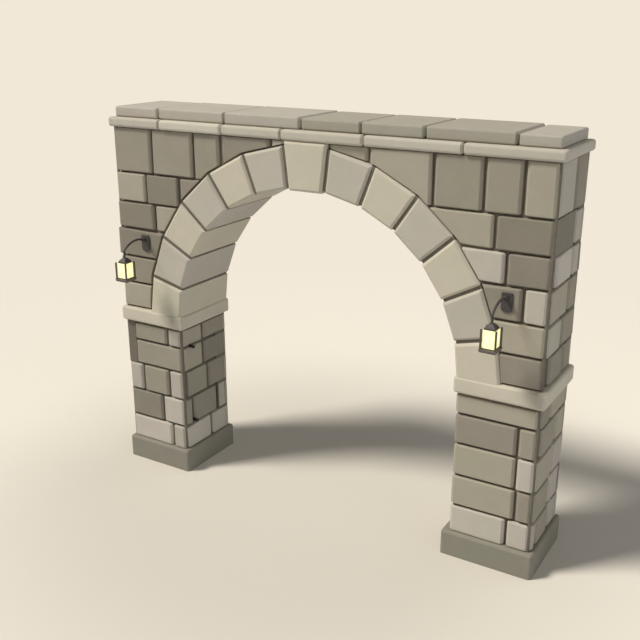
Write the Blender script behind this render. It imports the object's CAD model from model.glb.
"""Looks of the stone gateway arch: chamfered wall stones in dark mortar, a ring of wedge stones,
moulded courses and iron lanterns, with the floor, light and camera of the photograph.
Metres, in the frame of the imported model: +Z up, front towards -Y, ground at z = 0."""
import math
import random

import bmesh
import bpy
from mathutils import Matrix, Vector


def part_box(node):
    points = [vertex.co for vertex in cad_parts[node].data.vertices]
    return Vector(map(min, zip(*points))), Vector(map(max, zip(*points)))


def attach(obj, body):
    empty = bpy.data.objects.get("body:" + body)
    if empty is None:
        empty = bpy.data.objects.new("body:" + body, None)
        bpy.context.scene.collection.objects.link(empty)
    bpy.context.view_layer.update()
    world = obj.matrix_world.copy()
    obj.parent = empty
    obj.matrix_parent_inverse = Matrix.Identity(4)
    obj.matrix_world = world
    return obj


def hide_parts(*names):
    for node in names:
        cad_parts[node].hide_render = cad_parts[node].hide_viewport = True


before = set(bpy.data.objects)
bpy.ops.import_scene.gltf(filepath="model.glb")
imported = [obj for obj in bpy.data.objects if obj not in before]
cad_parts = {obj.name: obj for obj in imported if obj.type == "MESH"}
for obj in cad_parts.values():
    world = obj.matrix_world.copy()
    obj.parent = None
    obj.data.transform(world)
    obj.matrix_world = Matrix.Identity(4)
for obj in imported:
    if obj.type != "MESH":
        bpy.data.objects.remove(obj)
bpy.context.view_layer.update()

# Places taken from the frame
pier_low, pier_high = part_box("right_pier")
WALL_Y = (pier_low.y + pier_high.y) / 2
HALF_T = (pier_high.y - pier_low.y) / 2
PIER_X = pier_low.x
WALL_END = pier_high.x
PLINTH_TOP = pier_low.z
PIER_TOP = pier_high.z
IMPOST_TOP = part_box("right_impost")[1].z
WALL_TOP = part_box("right_spandrel")[1].z

RING_NODES = (
    ["left_springer"] + [f"left_voussoir_{i}" for i in range(1, 6)] + ["keystone"]
    + [f"right_voussoir_{i}" for i in range(5, 0, -1)] + ["right_springer"]
)
CORNICE_NODES = [f"cornice_stone_{i}" for i in range(1, 7)]
COPING_NODES = [f"coping_slab_{i}" for i in range(1, 8)]

# Differences below which two places count as one
WELD = 1e-5
AT_X = 1e-4
TOUCH = 0.001
IN_FACE = 0.005
NEAR = 0.01

# Normals and angles
LEVEL_NORMAL = 0.9
SMOOTH_ANGLE = math.radians(50)

# Joints of the piers and the wall, and the gap round the ring, which is wider on the left
BED_JOINT = 0.023
PIER_JOINT = 0.027
WALL_JOINT = 0.033
SIDE_JOINT = 0.034
RING_GAP = 0.014
LEFT_CUT_SHIFT = -0.028
RING_CUT_NEAR = 0.012
RING_BEHIND = 0.1
KEYSTONE_GAP = 0.008

# Wall stones, and the bare rubble behind fallen ones
STONE_DEEP = 0.065
STONE_WOBBLE = 0.005
STONE_PROUD = 0.003
TONE_SPREAD = 0.015
CHAMFER = 0.028
CHAMFER_DEPTH = 0.022
BED_CHAMFER = 0.012
CREASE = 0.005
SHORT_EDGE = 0.03
PATCH_SUNK = {"r": 0.020, "b": 0.012}

# Mortar behind the stones, and the strips of it at the corners
MORTAR_DEEP = 0.042
CORE_UNDER_RING = 0.06
CORNER_MORTAR_W = 0.040
CORNER_MORTAR_ROUND = 0.008
FRONT_CORNER_SUNK = 0.016
BACK_CORNER_SUNK = 0.010
BACK_CORNER_DEPTH = 0.2
LEFT_END_CORNER_PROUD = 0.010
INNER_CORNER_SUNK = 0.006
LEFT_CORNER_REACH = (0.026, 0.050)

# How far the stones of a face stop short of its left and right corners, as one faces it.
# Fronts and backs run out to their left corners, and the stones of the sides lie behind those.
FRONT_STOPS = (0.0, 0.028)
SIDE_STOPS = (0.036, 0.048)

# Course heights from below, in the piers and in the wall above the imposts
LEFT_PIER_COURSES = [0.322, 0.368, 0.366, 0.326, 0.241]
RIGHT_PIER_COURSES = [0.330, 0.361, 0.368, 0.340, 0.234]
WALL_COURSES = [0.331, 0.336, 0.358, 0.331, 0.354, 0.546]
TOP_BED = 0.012

# How far the front stones reach past the two ends of the wall, course by course from below.
# At the right end, the back stones and those of the end itself go with them.
# The stones of the left end and of the right pier's inner face stand out evenly.
LEFT_PIER_OUT = [-0.005, 0.000, 0.002, 0.014, 0.014]
LEFT_WALL_OUT = [0.012, 0.020, 0.048, 0.012, 0.000, -0.006]
RIGHT_PIER_OUT = [0.000, 0.000, 0.000, -0.004, 0.000]
RIGHT_WALL_OUT = [-0.006, -0.002, -0.006, -0.002, -0.003, 0.000]
LEFT_END_OUT = 0.012
RIGHT_INNER_OUT = 0.015

# Courses from below: a tone letter for each stone, from left to right as one faces them,
# and the joints between them. A hyphen is an open place, and r and b are bare rubble, dark and pale,
# whose stones have fallen out.
# Fronts are measured in X, ends and inner faces from the middle of the wall.
LEFT_PIER_FRONT = [
    ("ps", [-2.058]),
    ("dp", [-2.198]),
    ("sms", [-2.498, -2.075]),
    ("rm", [-2.608]),
    ("rms", [-2.608, -2.070]),
]
RIGHT_PIER_FRONT = [
    ("pp", [2.441]),
    ("lg", [2.516]),
    ("lp", [2.502]),
    ("gm", [2.499]),
    ("l", []),
]
LEFT_WALL_FRONT = [
    ("l", []),
    ("g", []),
    ("d", []),
    ("dl", [-2.149]),
    ("ldg", [-2.258, -1.762]),
    ("mmmgs", [-2.146, -1.528, -1.142, -0.458]),
]
RIGHT_WALL_FRONT = [
    ("g", []),
    ("l", []),
    ("gp", [2.446]),
    ("pd", [2.250]),
    ("ld", [2.115]),
    ("llmml", [0.740, 1.454, 1.982, 2.372]),
]
LEFT_PIER_INNER = [
    ("pp", [0.092]),
    ("mgs", [-0.27, 0.229]),
    ("-mg", [-0.36, 0.054]),
    ("ld", [-0.025]),
    ("lm", [-0.025]),
]
RIGHT_PIER_END = [
    ("sms", [-0.286, 0.119]),
    ("ms", [0.06]),
    ("ls", [0.073]),
    ("-ml", [-0.36, 0.108]),
    ("gl", [-0.12]),
]
RIGHT_WALL_END = [
    ("-gg", [-0.30, 0.15]),
    ("sm", [0.0]),
    ("lm", [0.135]),
    ("-ps", [-0.36, 0.16]),
    ("bs", [0.155]),
    ("sg", [0.06]),
]
# Colours of the wall stones, from dark to pale, as they look in plain light
TONES = {
    "d": (130, 122, 105),
    "g": (139, 130, 113),
    "m": (144, 136, 117),
    "l": (159, 150, 129),
    "s": (168, 159, 142),
    "p": (179, 169, 152),
    "r": (108, 100, 85),
    "b": (120, 114, 98),
}
# Letters of the places without a stone, and the tones that fill them on a side that repeats a course
LOST_STONES = "-rb"
FILLED_TONES = "gml"

# Dressed stones
RING_YELLOW = (188, 178, 155)
RING_PINK = (178, 169, 151)
RING_TONES = [(RING_YELLOW, RING_PINK)[i % 2] for i in range(len(RING_NODES))]
SAW_SPARE = 0.03
RING_CHAMFER = 0.026
RING_CREASE = 0.006
RING_JOINT = 0.028
RING_MORTAR_SUNK = 0.014
RING_MORTAR_SPARE = 0.03
RING_MORTAR_ROUND = 0.003
RING_TRIM = 0.008
RING_SETTLE = 0.003
RING_GROWN = 0.006
SPRINGER_SUNK = 0.06
SPRINGER_FOOT = 0.003
SPRINGER_HEEL = 0.012
IMPOST_TONE = (188, 178, 156)
IMPOST_ROUND = 0.030
PLINTH_TONE = (129, 123, 107)
PLINTH_ROUND = 0.034
CORNICE_TONES = [(178, 170, 151), (190, 182, 161), (181, 172, 153), (180, 171, 152), (180, 172, 153),
                 (177, 168, 150)]
CORNICE_ROUND = 0.032
CORNICE_GAP = 0.008
COPING_TONES = [(172, 163, 147), (170, 162, 145), (169, 161, 145), (154, 147, 130), (155, 148, 131),
                (154, 146, 129), (165, 157, 142)]
COPING_ROUND = 0.022
COPING_GAP = 0.013
JOINT_CHAMFER = 0.030
JOINT_ROUND = 0.012
END_ROUND = 0.026

# Lanterns and pegs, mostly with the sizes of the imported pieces
PLATE_W, PLATE_H, PLATE_T = 0.116, 0.196, 0.024
PLATE_LOOK_T = 0.015
GLASS_SEAT = 0.010
PLATE_LOW_ROUND, PLATE_TOP_ROUND = 0.040, 0.010
ARM_D = 0.026
ARM_BOW = 0.320
ARM_LEAN = math.radians(42)
ARM_DROP = 0.058
ELBOW = 0.020
KNUCKLE_OVER = 0.003
SOCKET_D, SOCKET_L = 0.044, 0.038
CAP_RIM = 0.010
CAP_SHOULDER_W = 0.092
CAP_TOP_W = 0.040
CAP_ROUND = 0.005
POST_W = 0.017
BASE_H = 0.034
BASE_OVER = 0.006
BASE_TAPER = 0.010
SOCKET_ROUND = 0.006
SEAT_SHARE = 0.75
POST_ROUND = 0.002
IRON_ROUND = 0.003
PEG_ROUND = 0.007
PEG_IN = 0.03
PLATE_TONE = (62, 59, 56)
ARM_TONE = (62, 56, 52)
CAP_TONE = (60, 55, 52)
POST_TONE = (75, 68, 60)
BASE_TONE = (98, 90, 82)
TRAY_TONE = (48, 42, 38)
PEG_TONE = (34, 31, 29)

# Mortar and glass
MORTAR_DARK, MORTAR_PALE = (103, 95, 81), (113, 105, 90)
GLASS_EDGE, GLASS_MIDDLE, GLASS_BODY = (228, 222, 146), (232, 227, 168), (194, 190, 158)

# Floor, background and camera of the photograph
BACKGROUND = (242, 232, 215)
FLOOR_NEAR = (203, 194, 177)
FLOOR_FAR = (225, 215, 197)
FLOOR_PALES = 2.0, 5.5
FLOOR_BOUNCE = 0.64
HAZE_START, HAZE_FULL = 5.0, 12.0
CAMERA_TURN = math.radians(31.187)
CAMERA_LIFT = math.radians(18.845)
CAMERA_FROM_WALL = Vector((4.986, -8.401, 5.587))

draw = random.Random(11)


def srgb(red, green, blue):
    """Linear colour for a colour as a picture shows it, 0 to 255 a channel."""
    shares = [c / 255 for c in (red, green, blue)]
    return tuple(s / 12.92 if s <= 0.04045 else ((s + 0.055) / 1.055) ** 2.4 for s in shares)


# Tools


def select_only(*pieces):
    """Selects pieces and makes the first one active."""
    bpy.ops.object.select_all(action="DESELECT")
    for piece in pieces:
        piece.select_set(True)
    bpy.context.view_layer.objects.active = pieces[0]


def rough_block(name, low, high):
    """A block at its size and place, from one cube."""
    bpy.ops.object.select_all(action="DESELECT")
    bpy.ops.mesh.primitive_cube_add(size=1, location=(low + high) / 2, scale=high - low)
    bpy.ops.object.transform_apply(location=True, rotation=True, scale=True)
    piece = bpy.context.object
    piece.name = name
    return piece


def saw(piece, point, outward):
    """Cuts off what lies outside a plane and closes the cut."""
    select_only(piece)
    bpy.ops.object.mode_set(mode="EDIT")
    bpy.ops.mesh.select_all(action="SELECT")
    bpy.ops.mesh.bisect(plane_co=point, plane_no=outward, use_fill=True, clear_outer=True)
    bpy.ops.object.mode_set(mode="OBJECT")


def stretch(piece, shares):
    """Scales a mesh about the origin, along the three axes."""
    select_only(piece)
    piece.scale = shares
    bpy.ops.object.transform_apply(location=False, rotation=False, scale=True)


def round_edges(piece, wanted, width, steps, shares=(1, 1, 1)):
    """Rounds the edges whose two ends pass a test, or chamfers them in one step. Where the piece
    is stretched meanwhile by a share along an axis, the rounding is narrower along it."""
    select_only(piece)
    bpy.ops.object.mode_set(mode="EDIT")
    bpy.ops.mesh.select_mode(type="EDGE")
    bpy.ops.mesh.select_all(action="DESELECT")
    mesh = bmesh.from_edit_mesh(piece.data)
    for edge in mesh.edges:
        edge.select_set(wanted(*(v.co for v in edge.verts)))
    bmesh.update_edit_mesh(piece.data)
    bpy.ops.object.mode_set(mode="OBJECT")
    stretch(piece, shares)
    bpy.ops.object.mode_set(mode="EDIT")
    bpy.ops.mesh.bevel(offset=width, segments=steps, affect="EDGES", clamp_overlap=True)
    bpy.ops.object.mode_set(mode="OBJECT")
    stretch(piece, [1 / share for share in shares])


def wear_edges(piece, width, steps):
    """Rounds every sharp edge of a piece."""
    bevel = piece.modifiers.new("worn edges", "BEVEL")
    bevel.width = width
    bevel.segments = steps
    bevel.limit_method = "ANGLE"
    select_only(piece)
    bpy.ops.object.modifier_apply(modifier=bevel.name)


def tint(piece, colour):
    """Gives every point of a piece the colour of its stone or iron."""
    layer = piece.data.color_attributes.new(name="tint", type="FLOAT_COLOR", domain="POINT")
    layer.data.foreach_set("color", [*srgb(*colour), 1.0] * len(piece.data.vertices))


def join(name, pieces):
    """Joins pieces into one, under a name."""
    select_only(*pieces)
    bpy.ops.object.join()
    pieces[0].name = name
    return pieces[0]


def hand_in(piece, finish, slot, *nodes):
    """Smooths a piece, gives it its finish and sets it on the body of the arch."""
    select_only(piece)
    bpy.ops.object.shade_smooth_by_angle(angle=SMOOTH_ANGLE)
    weighted = piece.modifiers.new("flat faces", "WEIGHTED_NORMAL")
    weighted.keep_sharp = True
    bpy.ops.object.modifier_apply(modifier=weighted.name)
    piece.data.materials.clear()
    piece.data.materials.append(finish)
    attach(piece, "root")
    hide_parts(*nodes)


# Finishes


def start_finish(name):
    """A new material with its node tree and its shader."""
    material = bpy.data.materials.new(name)
    material.use_nodes = True
    tree = material.node_tree
    return material, tree, tree.nodes["Principled BSDF"]


def add_node(tree, kind, inputs=None, **settings):
    """A node with its settings, its inputs linked to sockets or set to values."""
    made = tree.nodes.new(kind)
    for name, value in settings.items():
        setattr(made, name, value)
    for name, value in (inputs or {}).items():
        if isinstance(value, bpy.types.NodeSocket):
            tree.links.new(value, made.inputs[name])
        else:
            made.inputs[name].default_value = value
    return made


def noise(tree, place, scale, detail, low, high):
    """Noise over the piece, spread from low to high."""
    made = add_node(tree, "ShaderNodeTexNoise", {"Vector": place, "Scale": scale, "Detail": detail})
    spread = add_node(
        tree, "ShaderNodeMapRange",
        {"Value": made.outputs["Fac"], "From Min": 0.3, "From Max": 0.7, "To Min": low, "To Max": high},
    )
    return spread.outputs["Result"]


def math_node(tree, operation, first, second):
    """Result of an operation on two sockets or values."""
    return add_node(tree, "ShaderNodeMath", {0: first, 1: second}, operation=operation).outputs[0]


def stone_finish(name, clouds, grain, bump):
    """Dressed stone in its own tint, clouded by weather, with a fine sandy grain."""
    material, tree, shader = start_finish(name)
    place = add_node(tree, "ShaderNodeTexCoord").outputs["Object"]
    own = add_node(tree, "ShaderNodeAttribute", attribute_name="tint").outputs["Color"]
    broad = noise(tree, place, scale=1.6, detail=3, low=1 - clouds, high=1 + clouds)
    patches = noise(tree, place, scale=7.0, detail=6, low=1 - clouds, high=1 + clouds)
    sand = noise(tree, place, scale=170.0, detail=3, low=1 - grain, high=1 + grain)
    shade = math_node(tree, "MULTIPLY", math_node(tree, "MULTIPLY", broad, patches), sand)
    stains = noise(tree, place, scale=2.4, detail=4, low=0.0, high=1.0)
    stain = add_node(tree, "ShaderNodeValToRGB", {"Fac": stains})
    stain.color_ramp.elements[0].color = (0.975, 1.0, 0.965, 1)
    stain.color_ramp.elements[1].color = (1.02, 0.995, 1.02, 1)
    stained = add_node(
        tree, "ShaderNodeVectorMath", {0: own, 1: stain.outputs["Color"]}, operation="MULTIPLY",
    )
    colour = add_node(
        tree, "ShaderNodeVectorMath", {0: stained.outputs["Vector"], "Scale": shade}, operation="SCALE",
    )
    tree.links.new(colour.outputs["Vector"], shader.inputs["Base Color"])
    rough = noise(tree, place, scale=22.0, detail=4, low=0.80, high=0.95)
    tree.links.new(rough, shader.inputs["Roughness"])
    shader.inputs["Specular IOR Level"].default_value = 0.25
    pits = noise(tree, place, scale=26.0, detail=5, low=0.0, high=1.0)
    height = math_node(tree, "ADD", sand, pits)
    relief = add_node(tree, "ShaderNodeBump", {"Height": height, "Strength": bump, "Distance": 0.003})
    tree.links.new(relief.outputs["Normal"], shader.inputs["Normal"])
    return material


def mortar_finish():
    """Brown sandy mortar in two close tones."""
    material, tree, shader = start_finish("lime mortar")
    place = add_node(tree, "ShaderNodeTexCoord").outputs["Object"]
    patches = noise(tree, place, scale=14.0, detail=6, low=0.0, high=1.0)
    ramp = add_node(tree, "ShaderNodeValToRGB", {"Fac": patches})
    ramp.color_ramp.elements[0].color = (*srgb(*MORTAR_DARK), 1)
    ramp.color_ramp.elements[1].color = (*srgb(*MORTAR_PALE), 1)
    tree.links.new(ramp.outputs["Color"], shader.inputs["Base Color"])
    shader.inputs["Roughness"].default_value = 0.95
    shader.inputs["Specular IOR Level"].default_value = 0.15
    sand = noise(tree, place, scale=220.0, detail=2, low=0.0, high=1.0)
    relief = add_node(tree, "ShaderNodeBump", {"Height": sand, "Strength": 0.4, "Distance": 0.003})
    tree.links.new(relief.outputs["Normal"], shader.inputs["Normal"])
    return material


def iron_finish():
    """Hammered iron in the tint of each of its pieces."""
    material, tree, shader = start_finish("blackened iron")
    place = add_node(tree, "ShaderNodeTexCoord").outputs["Object"]
    own = add_node(tree, "ShaderNodeAttribute", attribute_name="tint").outputs["Color"]
    shade = noise(tree, place, scale=38.0, detail=5, low=0.88, high=1.12)
    colour = add_node(tree, "ShaderNodeVectorMath", {0: own, "Scale": shade}, operation="SCALE")
    tree.links.new(colour.outputs["Vector"], shader.inputs["Base Color"])
    rough = noise(tree, place, scale=90.0, detail=3, low=0.50, high=0.70)
    tree.links.new(rough, shader.inputs["Roughness"])
    shader.inputs["Metallic"].default_value = 0.25
    hammered = noise(tree, place, scale=60.0, detail=2, low=0.0, high=1.0)
    relief = add_node(tree, "ShaderNodeBump", {"Height": hammered, "Strength": 0.25, "Distance": 0.002})
    tree.links.new(relief.outputs["Normal"], shader.inputs["Normal"])
    return material


def glass_finish(glow_low, glow_high):
    """Milky glass, lit from inside and a little brighter in the middle of its height."""
    material, tree, shader = start_finish("glowing milk glass")
    place = add_node(tree, "ShaderNodeTexCoord").outputs["Object"]
    height = add_node(tree, "ShaderNodeSeparateXYZ", {"Vector": place}).outputs["Z"]
    rise = add_node(
        tree, "ShaderNodeMapRange",
        {"Value": height, "From Min": glow_low, "From Max": glow_high, "To Min": 0.0, "To Max": 1.0},
    )
    ramp = add_node(tree, "ShaderNodeValToRGB", {"Fac": rise.outputs["Result"]})
    edge, middle = ((*srgb(*tone), 1) for tone in (GLASS_EDGE, GLASS_MIDDLE))
    ramp.color_ramp.elements[0].color = edge
    ramp.color_ramp.elements[1].color = edge
    ramp.color_ramp.elements.new(0.5).color = middle
    tree.links.new(ramp.outputs["Color"], shader.inputs["Emission Color"])
    shader.inputs["Base Color"].default_value = (*srgb(*GLASS_BODY), 1)
    shader.inputs["Emission Strength"].default_value = 1.0
    shader.inputs["Roughness"].default_value = 0.35
    return material


WALL_STONE = stone_finish("weathered wall stone", clouds=0.025, grain=0.02, bump=0.15)
RING_STONE = stone_finish("dressed ring stone", clouds=0.02, grain=0.015, bump=0.10)
PLINTH_STONE = stone_finish("dark plinth stone", clouds=0.03, grain=0.02, bump=0.15)
COPING_STONE = stone_finish("moulded coping stone", clouds=0.02, grain=0.015, bump=0.10)
MORTAR = mortar_finish()
IRON = iron_finish()


# Wall stones

# Faces of the masonry: direction along the face as one faces it, direction outwards,
# and distance of the face from the middle of the wall
FACES = {
    "front": (Vector((1, 0, 0)), Vector((0, -1, 0)), HALF_T),
    "back": (Vector((-1, 0, 0)), Vector((0, 1, 0)), HALF_T),
    "right_end": (Vector((0, 1, 0)), Vector((1, 0, 0)), WALL_END),
    "left_end": (Vector((0, -1, 0)), Vector((-1, 0, 0)), WALL_END),
    "left_inner": (Vector((0, 1, 0)), Vector((1, 0, 0)), -PIER_X),
    "right_inner": (Vector((0, -1, 0)), Vector((-1, 0, 0)), -PIER_X),
}
CENTRE = Vector((0, WALL_Y, 0))


def on_face(face, along, out, z):
    """Point on a face of the masonry, out in front of it."""
    direction, outward, distance = FACES[face]
    return CENTRE + direction * along + outward * (distance + out) + Vector((0, 0, z))


def ring_outline(node):
    """Corners of a ring stone's full section, which lies behind its chamfers, in turn about its middle."""
    points = [v.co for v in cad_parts[node].data.vertices]
    face = max(abs(p.y - WALL_Y) for p in points)
    found = {(round(p.x, 4), round(p.z, 4)) for p in points if abs(p.y - WALL_Y) < face - IN_FACE}
    middle = [sum(c) / len(found) for c in zip(*found)]
    return sorted(found, key=lambda c: math.atan2(c[1] - middle[1], c[0] - middle[0]))


def ring_centre_height():
    """Height from which the outer corners of two ring stones are equally far."""
    (x1, z1), (x2, z2) = (
        max(ring_outline(n), key=lambda c: math.hypot(c[0], c[1] - IMPOST_TOP))
        for n in ("right_voussoir_2", "right_voussoir_5")
    )
    return (x1 * x1 + z1 * z1 - x2 * x2 - z2 * z2) / (2 * (z1 - z2))


RING_Z = ring_centre_height()
RING_IN, *_, RING_OUT = sorted(math.hypot(x, z - RING_Z) for x, z in ring_outline("right_voussoir_3"))
RING_CUT = RING_OUT + RING_GAP
KEYSTONE_HALF = max(x for x, z in ring_outline("keystone"))


def ring_cutter(name, radius, shift=0.0):
    """A drum with one flat side for each ring stone, to cut the wall to the ring."""
    bpy.ops.object.select_all(action="DESELECT")
    bpy.ops.mesh.primitive_cylinder_add(
        vertices=2 * len(RING_NODES), radius=radius, depth=4 * HALF_T,
        location=(shift, WALL_Y, RING_Z), rotation=(math.pi / 2, math.pi / 2, 0),
    )
    bpy.ops.object.transform_apply(location=True, rotation=True, scale=True)
    piece = bpy.context.object
    piece.name = name
    return piece


def cut_to_ring(piece, cutter):
    """Takes away what lies inside the drum."""
    boolean = piece.modifiers.new("ring", "BOOLEAN")
    boolean.operation = "DIFFERENCE"
    boolean.object = cutter
    select_only(piece)
    bpy.ops.object.modifier_apply(modifier=boolean.name)


def cut_distance(point):
    """Distance from the middle of the cut round the ring, which leaves a wide joint on the left."""
    shift = LEFT_CUT_SHIFT if point.x < 0 else 0.0
    return math.hypot(point.x - shift, point.z - RING_Z)


def meets_ring(low, high):
    """Whether the nearest corner or side of a block lies inside the cut round the ring."""
    near = Vector((min(max(0, low.x), high.x), 0, min(max(RING_Z, low.z), high.z)))
    return cut_distance(near) < RING_CUT


def rubble(face, start, stop, levels, out, tone):
    """Bare rubble where a stone has fallen out, from one neighbour to the next."""
    front = out - PATCH_SUNK[tone]
    first = on_face(face, start, front - STONE_DEEP, levels[0])
    second = on_face(face, stop, front, levels[1])
    piece = rough_block("rubble", Vector(map(min, first, second)), Vector(map(max, first, second)))
    wear_edges(piece, CREASE, 2)
    tint(piece, TONES[tone])
    return piece


def wall_stone(face, start, stop, levels, out, tone, cutter):
    """One stone of a face: a rough block, cut to the ring where it meets it, with its front chamfered."""
    outward = FACES[face][1]
    proud = out + draw.uniform(-STONE_PROUD, STONE_PROUD)
    first = on_face(face, start, proud - STONE_DEEP, levels[0] + BED_JOINT / 2)
    second = on_face(face, stop, proud, levels[1] - BED_JOINT / 2)
    low = Vector(map(min, first, second))
    high = Vector(map(max, first, second))
    piece = rough_block("stone", low, high)
    bpy.ops.object.mode_set(mode="EDIT")
    bpy.ops.mesh.select_all(action="SELECT")
    bpy.ops.transform.vertex_random(offset=STONE_WOBBLE, seed=draw.randrange(10000))
    bpy.ops.object.mode_set(mode="OBJECT")
    cut = cutter and meets_ring(low, high)
    if cut:
        cut_to_ring(piece, cutter)
        bpy.ops.object.mode_set(mode="EDIT")
        bpy.ops.mesh.select_all(action="SELECT")
        bpy.ops.mesh.remove_doubles(threshold=SHORT_EDGE)
        bpy.ops.object.mode_set(mode="OBJECT")
    middle = outward.dot(first + second) / 2

    def in_front(a, b):
        on_ring = cut and max(cut_distance(a), cut_distance(b)) < RING_CUT + RING_CUT_NEAR
        return not on_ring and max(outward.dot(a), outward.dot(b)) > middle

    shares = [1 + abs(c) * (CHAMFER / CHAMFER_DEPTH - 1) for c in outward]
    shares[2] = CHAMFER / BED_CHAMFER
    round_edges(piece, in_front, CHAMFER, 1, shares)
    wear_edges(piece, CREASE, 2)
    light = draw.uniform(1 - TONE_SPREAD, 1 + TONE_SPREAD)
    tint(piece, [c * light for c in TONES[tone]])
    return piece


def bed_levels(bottom, top, courses):
    """Heights of the lower and upper bed of each course, stretched to fill the wall."""
    scale = (top - bottom) / sum(courses)
    beds = [bottom + scale * sum(courses[:i]) for i in range(len(courses) + 1)]
    return list(zip(beds, beds[1:]))


def lay_course(face, course, ends, stops, joint, levels, out, cutter=None):
    """Stones of one course on one face, which stop short of its two ends."""
    tones, joints = course
    starts = [ends[0] + stops[0]] + [j + joint / 2 for j in joints]
    finishes = [j - joint / 2 for j in joints] + [ends[1] - stops[1]]
    stones = []
    for tone, start, finish in zip(tones, starts, finishes):
        if tone in PATCH_SUNK:
            stones.append(rubble(face, start, finish + joint, levels, out, tone))
        elif tone != "-":
            stones.append(wall_stone(face, start, finish, levels, out, tone, cutter))
    return stones


def fill(course):
    """A course with no stone missing, for a side that repeats it."""
    tones, joints = course
    return "".join(draw.choice(FILLED_TONES) if t in LOST_STONES else t for t in tones), joints


LEFT_PIER_BEDS = bed_levels(PLINTH_TOP - BED_JOINT / 2, PIER_TOP - TOP_BED, LEFT_PIER_COURSES)
RIGHT_PIER_BEDS = bed_levels(PLINTH_TOP - BED_JOINT / 2, PIER_TOP - TOP_BED, RIGHT_PIER_COURSES)
WALL_BEDS = bed_levels(IMPOST_TOP, WALL_TOP + BED_JOINT / 2, WALL_COURSES)
ACROSS = (-HALF_T, HALF_T)


def pier_stones(side):
    """Stones of the four faces of a pier. A face that the photograph doesn't show repeats
    the matching one of the other pier, turned about the middle of the wall."""
    stones = []
    for i, levels in enumerate(LEFT_PIER_BEDS if side < 0 else RIGHT_PIER_BEDS):
        if side < 0:
            out, end_out, inner_out = LEFT_PIER_OUT[i], LEFT_END_OUT, 0.0
            front, back = LEFT_PIER_FRONT[i], fill(RIGHT_PIER_FRONT[i])
            end, inner = fill(RIGHT_PIER_END[i]), LEFT_PIER_INNER[i]
            front_ends, back_ends = (-WALL_END - out, -PIER_X), (PIER_X, WALL_END)
        else:
            out, end_out, inner_out = RIGHT_PIER_OUT[i], RIGHT_PIER_OUT[i], RIGHT_INNER_OUT
            front, back = RIGHT_PIER_FRONT[i], fill(LEFT_PIER_FRONT[i])
            end, inner = RIGHT_PIER_END[i], fill(LEFT_PIER_INNER[i])
            front_ends, back_ends = (PIER_X - inner_out, WALL_END + out), (-WALL_END - out, -PIER_X)
        word = "left" if side < 0 else "right"
        stones += lay_course("front", front, front_ends, FRONT_STOPS, PIER_JOINT, levels, 0.0)
        stones += lay_course("back", back, back_ends, FRONT_STOPS, PIER_JOINT, levels, 0.0)
        stones += lay_course(f"{word}_end", end, ACROSS, SIDE_STOPS, SIDE_JOINT, levels, end_out)
        stones += lay_course(f"{word}_inner", inner, ACROSS, SIDE_STOPS, SIDE_JOINT, levels, inner_out)
    return stones


def ring_reach(z):
    """Half the width of the ring at a height, a little inside its outer faces."""
    rise = z - RING_Z
    return max(math.sqrt(max(RING_OUT ** 2 - rise ** 2, 0)) - RING_BEHIND, KEYSTONE_HALF + KEYSTONE_GAP)


def spandrel_stones(side, cutter):
    """Stones of a side of the wall above the imposts, cut to the ring, with its end."""
    stones = []
    for i, levels in enumerate(WALL_BEDS):
        reach = ring_reach(levels[1])
        if side < 0:
            out, end_out = LEFT_WALL_OUT[i], LEFT_END_OUT
            front, back = LEFT_WALL_FRONT[i], fill(RIGHT_WALL_FRONT[i])
            end = fill(RIGHT_WALL_END[i])
            front_ends, back_ends = (-WALL_END - out, -reach), (reach, WALL_END)
        else:
            out, end_out = RIGHT_WALL_OUT[i], RIGHT_WALL_OUT[i]
            front, back = RIGHT_WALL_FRONT[i], fill(LEFT_WALL_FRONT[i])
            end = RIGHT_WALL_END[i]
            front_ends, back_ends = (reach, WALL_END + out), (-WALL_END - out, -reach)
        front_stops = (FRONT_STOPS[0], 0.0) if side < 0 else (0.0, FRONT_STOPS[1])
        back_stops = (0.0, FRONT_STOPS[1]) if side < 0 else (FRONT_STOPS[0], 0.0)
        word = "left" if side < 0 else "right"
        stones += lay_course("front", front, front_ends, front_stops, WALL_JOINT, levels, 0.0, cutter)
        stones += lay_course("back", back, back_ends, back_stops, WALL_JOINT, levels, 0.0, cutter)
        stones += lay_course(f"{word}_end", end, ACROSS, SIDE_STOPS, SIDE_JOINT, levels, end_out)
    return stones


def is_masonry_face(x):
    """Whether a side of a node is a face of the masonry, and not a joint with the ring."""
    return abs(x) > PIER_X - NEAR


def mortar_core(name, node):
    """Mortar and rubble deep behind the stones of a pier or a side of the wall."""
    low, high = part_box(node)
    left, right = (MORTAR_DEEP if is_masonry_face(x) else 0 for x in (low.x, high.x))
    return rough_block(
        name, low + Vector((left, MORTAR_DEEP, 0)), high - Vector((right, MORTAR_DEEP, 0)),
    )


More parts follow.
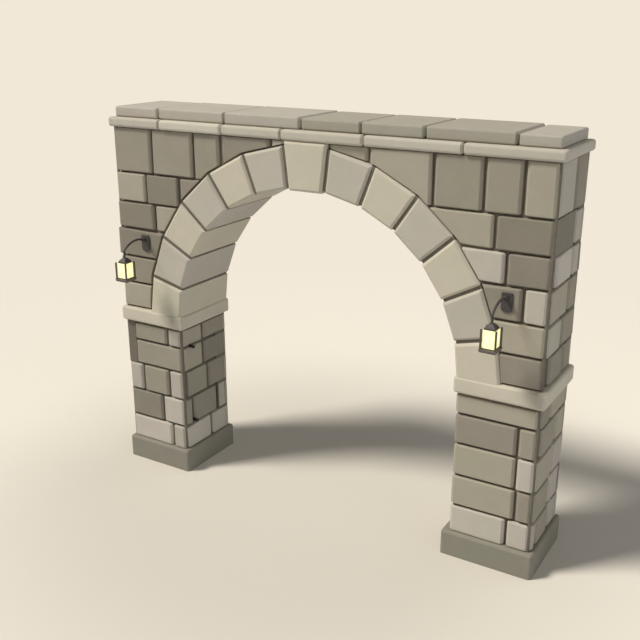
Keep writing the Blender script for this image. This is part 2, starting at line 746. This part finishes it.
def corner_mortar(node):
    """Mortar nearer the surface at the corners whose joints are shallow: all but the back left ones."""
    low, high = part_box(node)
    strips = []
    if is_masonry_face(low.x):
        proud = LEFT_END_CORNER_PROUD if low.x < 0 else -INNER_CORNER_SUNK
        front, rear = (low.y + reach for reach in LEFT_CORNER_REACH)
        first = Vector((low.x - proud, front, low.z))
        strips.append(rough_block("strip", first, Vector((first.x + CORNER_MORTAR_W, rear, high.z))))
    if is_masonry_face(high.x):
        last = Vector((high.x - BACK_CORNER_SUNK, high.y - BACK_CORNER_SUNK, high.z))
        first = Vector((last.x - CORNER_MORTAR_W, last.y - BACK_CORNER_DEPTH, low.z))
        strips.append(rough_block("strip", first, last))
        first = Vector((high.x - FRONT_CORNER_SUNK - CORNER_MORTAR_W, low.y + FRONT_CORNER_SUNK, low.z))
        size = Vector((CORNER_MORTAR_W, CORNER_MORTAR_W, high.z - low.z))
        strips.append(rough_block("strip", first, first + size))
    for strip in strips:
        wear_edges(strip, CORNER_MORTAR_ROUND, 2)
    return strips


def masonry():
    """Mortar and stones of both piers and of both sides of the wall above them."""
    core_cutter = ring_cutter("core_cutter", RING_OUT - CORE_UNDER_RING)
    for side, word in ((-1, "left"), (1, "right")):
        pier = f"{word}_pier"
        core = join(f"{pier}_mortar", [mortar_core("core", pier), *corner_mortar(pier)])
        hand_in(core, MORTAR, "mortar", pier)
        stones = join(f"{pier}_stones", pier_stones(side))
        hand_in(stones, WALL_STONE, "wall_stone", pier)
        spandrel = f"{word}_spandrel"
        core = mortar_core("core", spandrel)
        cut_to_ring(core, core_cutter)
        core = join(f"{spandrel}_mortar", [core, *corner_mortar(spandrel)])
        hand_in(core, MORTAR, "mortar", spandrel)
        cutter = ring_cutter("ring_cutter", RING_CUT, LEFT_CUT_SHIFT if side < 0 else 0.0)
        stones = join(f"{spandrel}_stones", spandrel_stones(side, cutter))
        hand_in(stones, WALL_STONE, "wall_stone", spandrel)
        bpy.data.objects.remove(cutter)
    bpy.data.objects.remove(core_cutter)


# Ring


def seated(node):
    """Corners of a ring stone's section, sunk a little into its joints and grown into the opening."""
    outline = ring_outline(node)
    middle = sum(math.atan2(abs(x), z - RING_Z) for x, z in outline) / len(outline)
    moved = []
    for x, z in outline:
        radius, angle = math.hypot(x, z - RING_Z), math.atan2(x, z - RING_Z)
        if node != "keystone":
            sunk = RING_TRIM if abs(angle) < middle else RING_SETTLE
            angle += math.copysign(sunk / radius, x)
        if radius < (RING_IN + RING_OUT) / 2:
            radius -= RING_GROWN
        moved.append((radius * math.sin(angle), RING_Z + radius * math.cos(angle)))
    return moved


def ring_stone(node, tone):
    """A wedge sawn from a rough block along the sides of its section, with chamfered faces."""
    outline = seated(node)
    spare = Vector((SAW_SPARE, 0, SAW_SPARE))
    low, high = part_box(node)[0] - spare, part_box(node)[1] + spare
    if node.endswith("springer"):
        side = math.copysign(1, low.x)
        foot, heel = sorted(outline, key=lambda c: c[1])[:2]
        if abs(foot[0]) > abs(heel[0]):
            foot, heel = heel, foot
        outline[outline.index(foot)] = (foot[0] - side * SPRINGER_FOOT, foot[1])
        outline[outline.index(heel)] = (heel[0] + side * SPRINGER_HEEL, heel[1])
        low.z = IMPOST_TOP - SPRINGER_SUNK
    piece = rough_block(f"{node}_block", low, high)
    for (x1, z1), (x2, z2) in zip(outline, outline[1:] + outline[:1]):
        on_impost = node.endswith("springer") and max(z1, z2) < IMPOST_TOP + NEAR
        if not on_impost:
            saw(piece, (x1, WALL_Y, z1), Vector((z2 - z1, 0, x1 - x2)))
    half = (high.y - low.y) / 2

    def round_a_face(a, b):
        in_one_face = abs(a.y - b.y) < TOUCH and min(abs(a.y - WALL_Y), abs(b.y - WALL_Y)) > half - TOUCH
        underneath = node.endswith("springer") and max(a.z, b.z) < low.z + TOUCH
        return in_one_face and not underneath

    round_edges(piece, round_a_face, RING_CHAMFER, 1)
    wear_edges(piece, RING_CREASE, 2)
    tint(piece, tone)
    hand_in(piece, RING_STONE, "ring_stone", node)


def ring_mortar():
    """Mortar beds between the ring stones, behind their chamfers and nearly level with their undersides."""
    low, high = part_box("left_voussoir_1")
    count = len(RING_NODES)
    inner = RING_IN + RING_MORTAR_SUNK
    middle = (inner + RING_OUT) / 2
    beds = []
    for i in range(1, count):
        angle = math.pi * (1 - i / count)
        bpy.ops.object.select_all(action="DESELECT")
        bpy.ops.mesh.primitive_cube_add(
            size=1, rotation=(0, -angle, 0),
            location=(middle * math.cos(angle), WALL_Y, RING_Z + middle * math.sin(angle)),
            scale=(RING_OUT - inner, high.y - low.y - 2 * RING_CHAMFER, RING_JOINT + RING_MORTAR_SPARE),
        )
        bpy.ops.object.transform_apply(location=True, rotation=True, scale=True)
        bed = bpy.context.object
        wear_edges(bed, RING_MORTAR_ROUND, 2)
        beds.append(bed)
    hand_in(join("ring_mortar_beds", beds), MORTAR, "mortar", "ring_mortar")


def ring():
    """The ring stones from left to right, and the mortar between them."""
    for node, tone in zip(RING_NODES, RING_TONES):
        ring_stone(node, tone)
    ring_mortar()


# Plinths, imposts, cornice and coping


def plinths_and_imposts():
    """The dark blocks under the piers and the pale ones on top of them."""
    for word in ("left", "right"):
        low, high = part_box(f"{word}_plinth")
        plinth = rough_block(f"{word}_plinth_block", low, high)
        round_edges(plinth, lambda a, b: max(a.z, b.z) > low.z + TOUCH, PLINTH_ROUND, 4)
        tint(plinth, PLINTH_TONE)
        hand_in(plinth, PLINTH_STONE, "plinth_stone", f"{word}_plinth")
        impost = rough_block(f"{word}_impost_block", *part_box(f"{word}_impost"))
        wear_edges(impost, IMPOST_ROUND, 4)
        tint(impost, IMPOST_TONE)
        hand_in(impost, RING_STONE, "ring_stone", f"{word}_impost")


def along(a, b):
    """Test for the edges that run along the wall."""
    return abs(a.x - b.x) > NEAR


def at_end(x):
    """Test for the edges of an upright face at x."""
    return lambda a, b: abs(a.x - x) < AT_X and abs(b.x - x) < AT_X


def course_block(node, first, last, gap):
    """A rough block for a stone of the cornice or the coping, with half a gap at its joints."""
    low, high = (Vector(corner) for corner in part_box(node))
    low.x += 0 if first else gap / 2
    high.x -= 0 if last else gap / 2
    return rough_block(f"{node}_block", low, high), low.x, high.x


def cornice():
    """Stones with rounded long edges, chamfered at their right joints."""
    for node, tone in zip(CORNICE_NODES, CORNICE_TONES):
        first, last = node == CORNICE_NODES[0], node == CORNICE_NODES[-1]
        piece, left, right = course_block(node, first, last, CORNICE_GAP)
        round_edges(piece, along, CORNICE_ROUND, 5)
        round_edges(piece, at_end(left), END_ROUND if first else JOINT_ROUND, 3)
        round_edges(piece, at_end(right), JOINT_CHAMFER, 4 if last else 1)
        wear_edges(piece, CREASE, 2)
        tint(piece, tone)
        hand_in(piece, COPING_STONE, "coping_stone", node)


def coping():
    """Slabs with worn edges, chamfered at their right joints."""
    for node, tone in zip(COPING_NODES, COPING_TONES):
        first, last = node == COPING_NODES[0], node == COPING_NODES[-1]
        piece, left, right = course_block(node, first, last, COPING_GAP)
        if not last:
            round_edges(piece, at_end(right), JOINT_CHAMFER, 1)
        round_edges(piece, along, COPING_ROUND, 4)
        round_edges(piece, at_end(left), COPING_ROUND if first else JOINT_ROUND, 3)
        if last:
            round_edges(piece, at_end(right), COPING_ROUND, 4)
        wear_edges(piece, CREASE, 2)
        tint(piece, tone)
        hand_in(piece, COPING_STONE, "coping_stone", node)


# Lanterns and pegs


def iron_bar(radius, length, middle, rotation):
    """A round bar about its middle, turned into place."""
    bpy.ops.object.select_all(action="DESELECT")
    bpy.ops.mesh.primitive_cylinder_add(
        vertices=24, radius=radius, depth=length, location=middle, rotation=rotation,
    )
    bpy.ops.object.transform_apply(location=True, rotation=True, scale=True)
    return bpy.context.object


def choose_faces(piece, wanted):
    """Goes into edit mode with the faces chosen whose normals pass a test."""
    select_only(piece)
    bpy.ops.object.mode_set(mode="EDIT")
    bpy.ops.mesh.select_mode(type="FACE")
    mesh = bmesh.from_edit_mesh(piece.data)
    for face in mesh.faces:
        face.select_set(wanted(face.normal))
    bmesh.update_edit_mesh(piece.data)


def lantern_plate(node):
    """A wall plate, round at its two lower corners."""
    low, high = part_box(node)
    x = (low.x + high.x) / 2
    bottom = high.z - PLATE_H
    plate = rough_block(
        f"{node}_iron",
        Vector((x - PLATE_W / 2, high.y - PLATE_LOOK_T, bottom)), Vector((x + PLATE_W / 2, high.y, high.z)),
    )
    round_edges(plate, lambda a, b: abs(a.y - b.y) > TOUCH and a.z < bottom + TOUCH, PLATE_LOW_ROUND, 6)
    round_edges(plate, lambda a, b: abs(a.y - b.y) > TOUCH and a.z > high.z - TOUCH, PLATE_TOP_ROUND, 3)
    wear_edges(plate, IRON_ROUND, 2)
    tint(plate, PLATE_TONE)
    return plate


def lantern_arm(node):
    """A socket, and an arm that bows out of it, bends down at its elbow and ends on the cap."""
    low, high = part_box(node)
    x = (low.x + high.x) / 2
    plate_y = high.y - PLATE_T
    arm_z = high.z - ARM_DROP
    tail_y = low.y + (ARM_D + KNUCKLE_OVER) / 2
    bow_y = tail_y + ELBOW * (1 - math.sin(ARM_LEAN)) + ARM_BOW * math.sin(ARM_LEAN)
    start_lean = math.asin((plate_y - bow_y) / ARM_BOW)
    bow_z = arm_z - ARM_BOW * math.cos(start_lean)
    socket_lean = math.asin((plate_y - SOCKET_L / 2 - bow_y) / ARM_BOW)
    socket_middle = Vector((x, plate_y - SOCKET_L / 2, bow_z + ARM_BOW * math.cos(socket_lean)))
    socket = iron_bar(SOCKET_D / 2, SOCKET_L + PLATE_T, socket_middle, (math.pi / 2 - socket_lean, 0, 0))
    wear_edges(socket, SOCKET_ROUND, 2)
    tint(socket, ARM_TONE)
    bpy.ops.object.select_all(action="DESELECT")
    bpy.ops.mesh.primitive_circle_add(
        vertices=20, radius=ARM_D / 2, fill_type="NGON",
        location=(x, plate_y, arm_z), rotation=(math.pi / 2 - start_lean, 0, 0),
    )
    bpy.ops.object.transform_apply(location=True, rotation=True, scale=True)
    arm = bpy.context.object
    elbow_y = bow_y - (ARM_BOW - ELBOW) * math.sin(ARM_LEAN)
    elbow_z = bow_z + (ARM_BOW - ELBOW) * math.cos(ARM_LEAN)
    bpy.ops.object.mode_set(mode="EDIT")
    bpy.ops.mesh.select_all(action="SELECT")
    bpy.ops.mesh.spin(steps=16, angle=-(start_lean + ARM_LEAN), center=(x, bow_y, bow_z), axis=(1, 0, 0))
    bpy.ops.mesh.spin(steps=4, angle=ARM_LEAN - math.pi / 2, center=(x, elbow_y, elbow_z), axis=(1, 0, 0))
    bpy.ops.mesh.extrude_region_move(TRANSFORM_OT_translate={"value": (0, 0, low.z - elbow_z)})
    bpy.ops.mesh.select_all(action="SELECT")
    bpy.ops.mesh.remove_doubles(threshold=WELD)
    bpy.ops.mesh.normals_make_consistent(inside=False)
    bpy.ops.object.mode_set(mode="OBJECT")
    tint(arm, ARM_TONE)
    return [socket, arm]


def lantern_cap(node):
    """A rim that narrows in two slopes to a flat top."""
    low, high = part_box(node)
    middle = (low + high) / 2
    cap = rough_block(f"{node}_iron", low, Vector((high.x, high.y, low.z + CAP_RIM)))
    slope = high.z - low.z - CAP_RIM
    choose_faces(cap, lambda normal: normal.z > LEVEL_NORMAL)
    for share in (CAP_SHOULDER_W / (high.x - low.x), CAP_TOP_W / CAP_SHOULDER_W):
        bpy.ops.mesh.extrude_region_move(TRANSFORM_OT_translate={"value": (0, 0, slope / 2)})
        bpy.ops.transform.resize(value=(share, share, 1), center_override=middle)
    bpy.ops.object.mode_set(mode="OBJECT")
    wear_edges(cap, CAP_ROUND, 2)
    tint(cap, CAP_TONE)
    hand_in(cap, IRON, "iron", node)


def lantern_glass(node):
    """The milky pane block that stands on the tray of a lantern."""
    low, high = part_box(node)
    glass = rough_block(f"{node}_pane", low - Vector((0, 0, GLASS_SEAT)), high)
    wear_edges(glass, IRON_ROUND, 2)
    hand_in(glass, glass_finish(low.z, high.z), "lantern_glass", node)


def lantern_cage(node, glass_node):
    """A base with a tapered underside, a tray under the glass and a free post on each corner."""
    low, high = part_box(node)
    glass_low, glass_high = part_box(glass_node)
    base = rough_block(f"{node}_iron", low, Vector((high.x, high.y, low.z + BASE_H)))
    bpy.ops.object.mode_set(mode="EDIT")
    bpy.ops.mesh.select_all(action="SELECT")
    bpy.ops.mesh.bisect(plane_co=(0, 0, low.z + BASE_H / 2), plane_no=(0, 0, 1))
    bpy.ops.object.mode_set(mode="OBJECT")
    choose_faces(base, lambda normal: normal.z < -LEVEL_NORMAL)
    foot = 1 - 2 * BASE_TAPER / (high.x - low.x)
    bpy.ops.transform.resize(value=(foot, foot, 1), center_override=(low + high) / 2)
    bpy.ops.object.mode_set(mode="OBJECT")
    wear_edges(base, IRON_ROUND, 2)
    tint(base, BASE_TONE)
    seat_z = low.z + BASE_H * SEAT_SHARE
    tray = rough_block(
        "tray", Vector((glass_low.x, glass_low.y, seat_z)),
        Vector((glass_high.x, glass_high.y, glass_low.z - GLASS_SEAT)),
    )
    wear_edges(tray, POST_ROUND, 2)
    tint(tray, TRAY_TONE)
    posts = []
    for x in (low.x + BASE_OVER, high.x - BASE_OVER - POST_W):
        for y in (low.y + BASE_OVER, high.y - BASE_OVER - POST_W):
            post = rough_block("post", Vector((x, y, seat_z)), Vector((x + POST_W, y + POST_W, high.z)))
            wear_edges(post, POST_ROUND, 2)
            tint(post, POST_TONE)
            posts.append(post)
    hand_in(join(f"{node}_iron", [base, tray, *posts]), IRON, "iron", node)


def pegs(node):
    """Round iron stubs that stand out of the inner face of a pier."""
    low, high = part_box(node)
    radius = (high.y - low.y) / 2
    tip_x = high.x if high.x < 0 else low.x
    root_x = math.copysign(PIER_X + PEG_IN, tip_x)
    stubs = []
    for z in (low.z + radius, high.z - radius):
        middle = Vector(((tip_x + root_x) / 2, (low.y + high.y) / 2, z))
        stub = iron_bar(radius, abs(tip_x - root_x), middle, (0, math.pi / 2, 0))
        wear_edges(stub, PEG_ROUND, 3)
        tint(stub, PEG_TONE)
        stubs.append(stub)
    hand_in(join(f"{node}_iron", stubs), IRON, "iron", node)


def ironwork():
    """Bracket, cap, glass and cage of each lantern, and the pegs of each pier."""
    for word in ("left", "right"):
        bracket = f"{word}_lantern_bracket"
        plate = lantern_plate(bracket)
        hand_in(join(f"{bracket}_iron", [plate, *lantern_arm(bracket)]), IRON, "iron", bracket)
        lantern_cap(f"{word}_lantern_cap")
        lantern_glass(f"{word}_lantern_glass")
        lantern_cage(f"{word}_lantern_cage", f"{word}_lantern_glass")
        pegs(f"{word}_pegs")


# Floor, light and camera


def where_seen(tree):
    """1 where the camera sees a surface, straight or through gloss and glass, and 0 where it only lights."""
    path = add_node(tree, "ShaderNodeLightPath")
    plain = math_node(tree, "MAXIMUM", path.outputs["Is Camera Ray"], path.outputs["Is Glossy Ray"])
    return math_node(tree, "MAXIMUM", plain, path.outputs["Is Transmission Ray"])


def floor():
    """A pale floor that passes into the background with the distance and reflects a neutral light."""
    bpy.ops.object.select_all(action="DESELECT")
    bpy.ops.mesh.primitive_plane_add(size=400, location=(0, 0, 0))
    piece = bpy.context.object
    piece.name = "floor"
    material, tree, shader = start_finish("pale floor")
    seen = where_seen(tree)
    place = add_node(tree, "ShaderNodeTexCoord").outputs["Object"]
    distance = add_node(tree, "ShaderNodeVectorMath", {0: place}, operation="LENGTH").outputs["Value"]
    paler = add_node(
        tree, "ShaderNodeMapRange",
        {"Value": distance, "From Min": FLOOR_PALES[0], "From Max": FLOOR_PALES[1]},
        interpolation_type="SMOOTHSTEP",
    )
    pale = add_node(
        tree, "ShaderNodeMix",
        {"Factor": paler.outputs["Result"], 6: (*srgb(*FLOOR_NEAR), 1), 7: (*srgb(*FLOOR_FAR), 1)},
        data_type="RGBA",
    )
    tone = add_node(
        tree, "ShaderNodeMix",
        {"Factor": seen, 6: (FLOOR_BOUNCE, FLOOR_BOUNCE, FLOOR_BOUNCE, 1), 7: pale.outputs[2]},
        data_type="RGBA",
    )
    tree.links.new(tone.outputs[2], shader.inputs["Base Color"])
    shader.inputs["Roughness"].default_value = 0.9
    shader.inputs["Specular IOR Level"].default_value = 0.1
    far = add_node(
        tree, "ShaderNodeMapRange",
        {"Value": distance, "From Min": HAZE_START, "From Max": HAZE_FULL}, interpolation_type="SMOOTHSTEP",
    )
    haze = add_node(tree, "ShaderNodeEmission", {"Color": (*srgb(*BACKGROUND), 1), "Strength": 1.0})
    blend = add_node(
        tree, "ShaderNodeMixShader",
        {
            0: math_node(tree, "MULTIPLY", far.outputs["Result"], seen),
            1: shader.outputs["BSDF"], 2: haze.outputs["Emission"],
        },
    )
    tree.links.new(blend.outputs["Shader"], tree.nodes["Material Output"].inputs["Surface"])
    piece.data.materials.append(material)


def sky(strength, colour):
    """An even surround: the background where it is seen, and a weak cool light elsewhere."""
    world = bpy.data.worlds.new("studio")
    bpy.context.scene.world = world
    world.use_nodes = True
    tree = world.node_tree
    light = tree.nodes["Background"]
    light.inputs["Color"].default_value = (*colour, 1)
    light.inputs["Strength"].default_value = strength
    seen = add_node(tree, "ShaderNodeBackground", {"Color": (*srgb(*BACKGROUND), 1), "Strength": 1.0})
    blend = add_node(
        tree, "ShaderNodeMixShader",
        {0: where_seen(tree), 1: light.outputs["Background"], 2: seen.outputs["Background"]},
    )
    tree.links.new(blend.outputs["Shader"], tree.nodes["World Output"].inputs["Surface"])


def from_side(turn, lift):
    """Direction towards a light or camera at a turn to the right and a lift above the horizon."""
    return Vector((math.sin(turn) * math.cos(lift), -math.cos(turn) * math.cos(lift), math.sin(lift)))


def lamp(name, turn, lift, strength, spread, colour=(1, 1, 1)):
    """A far soft lamp. Turn, lift and spread are in degrees."""
    data = bpy.data.lights.new(name, "SUN")
    data.energy = strength
    data.color = colour
    data.angle = math.radians(spread)
    made = bpy.data.objects.new(name, data)
    bpy.context.scene.collection.objects.link(made)
    made.rotation_mode = "QUATERNION"
    towards = from_side(math.radians(turn), math.radians(lift))
    made.rotation_quaternion = (-towards).to_track_quat("-Z", "Y")


def lights():
    """A weak cool sky, a soft main light from the front left, and two fills."""
    sky(strength=0.14, colour=(0.92, 0.97, 1.10))
    lamp("main light", turn=-48, lift=51, strength=3.72, spread=14)
    lamp("back fill", turn=145, lift=50, strength=0.42, spread=50)
    lamp("side fill", turn=75, lift=10, strength=1.0, spread=55, colour=(0.88, 0.95, 1.08))


def camera():
    """The camera of the photograph."""
    data = bpy.data.cameras.new("camera")
    data.lens = 50
    data.sensor_width = 36
    piece = bpy.data.objects.new("camera", data)
    bpy.context.scene.collection.objects.link(piece)
    piece.location = CENTRE + CAMERA_FROM_WALL
    piece.rotation_mode = "QUATERNION"
    piece.rotation_quaternion = (-from_side(CAMERA_TURN, CAMERA_LIFT)).to_track_quat("-Z", "Y")
    bpy.context.scene.camera = piece


camera()
masonry()
ring()
plinths_and_imposts()
cornice()
coping()
ironwork()
floor()
lights()
bpy.context.scene.view_settings.view_transform = "Standard"
